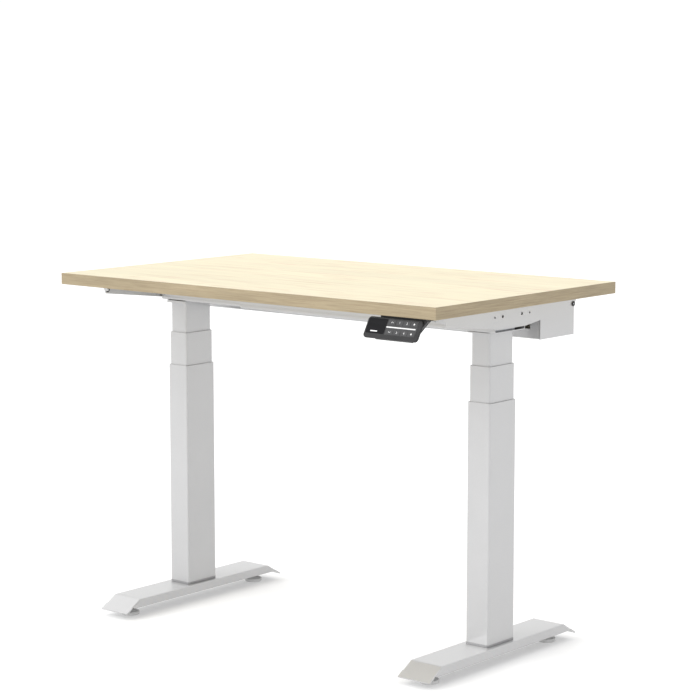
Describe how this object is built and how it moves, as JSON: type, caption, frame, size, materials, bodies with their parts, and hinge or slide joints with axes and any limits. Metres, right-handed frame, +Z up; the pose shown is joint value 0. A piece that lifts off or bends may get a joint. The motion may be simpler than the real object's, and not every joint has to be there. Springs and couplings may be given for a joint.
{
  "type": "standing desk",
  "caption": "Height-adjustable desk: oak-look board on a silver steel frame with two three-stage electric lifting columns, sheet feet, cable tray and keypad.",
  "frame": {"origin": "on the floor, at the centre of the desk's outline seen from above", "axes": "+X along the desktop to the user's right, +Y away from the user, +Z up"},
  "size_m": [1, 0.6166, 0.746],
  "materials": {
    "oak_board": "pale oak-look board with a fine straight grain, satin",
    "silver_paint": "silver-grey powder coat, semi-gloss",
    "steel": "machined steel",
    "zinc": "zinc-plated motor and gearbox housings, satin",
    "nut_plastic": "natural engineering plastic",
    "guide_plastic": "black low-friction plastic",
    "black_plastic": "black moulded plastic, fine grain",
    "display_gloss": "glossy black window",
    "key_plastic": "dark grey keys, satin",
    "glide_rubber": "grey levelling pads",
    "cable_jacket": "black cable jacket"
  },
  "bodies": {
    "base_left": {"foot_left": "silver_paint", "outer_tube_left": "silver_paint", "base_nut_carrier_left": "steel", "base_nut_left": "nut_plastic"},
    "mid_stage_left": {"mid_tube_left": "silver_paint", "mid_guide_left": "guide_plastic", "mid_nut_carrier_left": "steel", "mid_nut_left": "nut_plastic"},
    "base_right": {"foot_right": "silver_paint", "outer_tube_right": "silver_paint", "base_nut_carrier_right": "steel", "base_nut_right": "nut_plastic"},
    "mid_stage_right": {"mid_tube_right": "silver_paint", "mid_guide_right": "guide_plastic", "mid_nut_carrier_right": "steel", "mid_nut_right": "nut_plastic"},
    "desk_frame": {"desktop": "oak_board", "side_bracket_left": "silver_paint", "side_bracket_right": "silver_paint", "beam_outer_rail": "silver_paint", "beam_inner_rail": "silver_paint", "beam_end_plate_left": "silver_paint", "beam_end_plate_right": "silver_paint", "leg_top_plate_left": "silver_paint", "leg_top_plate_right": "silver_paint", "cable_tray": "silver_paint", "control_box_plate": "black_plastic", "control_box_cover": "black_plastic", "mains_inlet": "black_plastic", "keypad_shell": "black_plastic", "keypad_panel": "black_plastic", "keypad_display": "display_gloss", "motor_lead_left": "cable_jacket", "motor_lead_right": "cable_jacket", "keypad_lead": "cable_jacket", "inner_tube_left": "silver_paint", "inner_tube_right": "silver_paint", "inner_guide_left": "guide_plastic", "inner_guide_right": "guide_plastic", "gearbox_left": "zinc", "gearbox_right": "zinc", "motor_left": "zinc", "motor_right": "zinc"},
    "lower_screw_body_left": {"lower_screw_left": "steel"},
    "upper_screw_body_left": {"upper_screw_left": "steel"},
    "glide_body_left_front": {"glide_left_front": "glide_rubber"},
    "glide_body_left_rear": {"glide_left_rear": "glide_rubber"},
    "lower_screw_body_right": {"lower_screw_right": "steel"},
    "upper_screw_body_right": {"upper_screw_right": "steel"},
    "glide_body_right_front": {"glide_right_front": "glide_rubber"},
    "glide_body_right_rear": {"glide_right_rear": "glide_rubber"},
    "key_body_up": {"key_up": "key_plastic"},
    "key_body_one": {"key_one": "key_plastic"},
    "key_body_two": {"key_two": "key_plastic"},
    "key_body_lock": {"key_lock": "key_plastic"},
    "key_body_down": {"key_down": "key_plastic"},
    "key_body_three": {"key_three": "key_plastic"},
    "key_body_four": {"key_four": "key_plastic"},
    "key_body_memory": {"key_memory": "key_plastic"}
  },
  "joints": [
    {"name": "lift_mid_left", "type": "slide", "parent": "base_left", "child": "mid_stage_left", "axis": [0, 0, 1], "range_m": [-0.065, 0.26]},
    {"name": "lift_desk", "type": "slide", "parent": "mid_stage_left", "child": "desk_frame", "axis": [0, 0, 1], "range_m": [-0.065, 0.26]},
    {"name": "lift_mid_right", "type": "slide", "parent": "desk_frame", "child": "mid_stage_right", "axis": [0, 0, -1], "range_m": [-0.065, 0.26]},
    {"name": "lift_base_right", "type": "slide", "parent": "mid_stage_right", "child": "base_right", "axis": [0, 0, -1], "range_m": [-0.065, 0.26]},
    {"name": "lower_screw_turn_left", "type": "hinge", "parent": "mid_stage_left", "child": "lower_screw_body_left", "pos_m": [-0.41, 0.00827, 0.56], "axis": [0, 0, 1], "range_deg": [-1951, 7801]},
    {"name": "upper_screw_turn_left", "type": "hinge", "parent": "desk_frame", "child": "upper_screw_body_left", "pos_m": [-0.41, 0.00827, 0.68], "axis": [0, 0, 1], "range_deg": [-1951, 7801]},
    {"name": "lower_screw_turn_right", "type": "hinge", "parent": "mid_stage_right", "child": "lower_screw_body_right", "pos_m": [0.41, 0.00827, 0.56], "axis": [0, 0, 1], "range_deg": [-1951, 7801]},
    {"name": "upper_screw_turn_right", "type": "hinge", "parent": "desk_frame", "child": "upper_screw_body_right", "pos_m": [0.41, 0.00827, 0.68], "axis": [0, 0, 1], "range_deg": [-1951, 7801]},
    {"name": "level_left_front", "type": "slide", "parent": "base_left", "child": "glide_body_left_front", "axis": [0, 0, -1], "range_m": [0, 0.01]},
    {"name": "level_left_rear", "type": "slide", "parent": "base_left", "child": "glide_body_left_rear", "axis": [0, 0, -1], "range_m": [0, 0.01]},
    {"name": "level_right_front", "type": "slide", "parent": "base_right", "child": "glide_body_right_front", "axis": [0, 0, -1], "range_m": [0, 0.01]},
    {"name": "level_right_rear", "type": "slide", "parent": "base_right", "child": "glide_body_right_rear", "axis": [0, 0, -1], "range_m": [0, 0.01]},
    {"name": "press_up", "type": "slide", "parent": "desk_frame", "child": "key_body_up", "axis": [0, 0.866, -0.5], "range_m": [0, 0.0006], "stiffness_N_per_m": 1200, "springref_m": -0.0005},
    {"name": "press_one", "type": "slide", "parent": "desk_frame", "child": "key_body_one", "axis": [0, 0.866, -0.5], "range_m": [0, 0.0006], "stiffness_N_per_m": 1200, "springref_m": -0.0005},
    {"name": "press_two", "type": "slide", "parent": "desk_frame", "child": "key_body_two", "axis": [0, 0.866, -0.5], "range_m": [0, 0.0006], "stiffness_N_per_m": 1200, "springref_m": -0.0005},
    {"name": "press_lock", "type": "slide", "parent": "desk_frame", "child": "key_body_lock", "axis": [0, 0.866, -0.5], "range_m": [0, 0.0006], "stiffness_N_per_m": 1200, "springref_m": -0.0005},
    {"name": "press_down", "type": "slide", "parent": "desk_frame", "child": "key_body_down", "axis": [0, 0.866, -0.5], "range_m": [0, 0.0006], "stiffness_N_per_m": 1200, "springref_m": -0.0005},
    {"name": "press_three", "type": "slide", "parent": "desk_frame", "child": "key_body_three", "axis": [0, 0.866, -0.5], "range_m": [0, 0.0006], "stiffness_N_per_m": 1200, "springref_m": -0.0005},
    {"name": "press_four", "type": "slide", "parent": "desk_frame", "child": "key_body_four", "axis": [0, 0.866, -0.5], "range_m": [0, 0.0006], "stiffness_N_per_m": 1200, "springref_m": -0.0005},
    {"name": "press_memory", "type": "slide", "parent": "desk_frame", "child": "key_body_memory", "axis": [0, 0.866, -0.5], "range_m": [0, 0.0006], "stiffness_N_per_m": 1200, "springref_m": -0.0005}
  ],
  "couplings": [
    {"joint": "lift_desk", "follows": "lift_mid_left", "ratio": 1},
    {"joint": "lift_mid_right", "follows": "lift_mid_left", "ratio": 1},
    {"joint": "lift_base_right", "follows": "lift_mid_left", "ratio": 1},
    {"joint": "lower_screw_turn_left", "follows": "lift_mid_left", "rad_per_m": 523.6},
    {"joint": "upper_screw_turn_left", "follows": "lift_mid_left", "rad_per_m": 523.6},
    {"joint": "lower_screw_turn_right", "follows": "lift_mid_left", "rad_per_m": 523.6},
    {"joint": "upper_screw_turn_right", "follows": "lift_mid_left", "rad_per_m": 523.6}
  ]
}
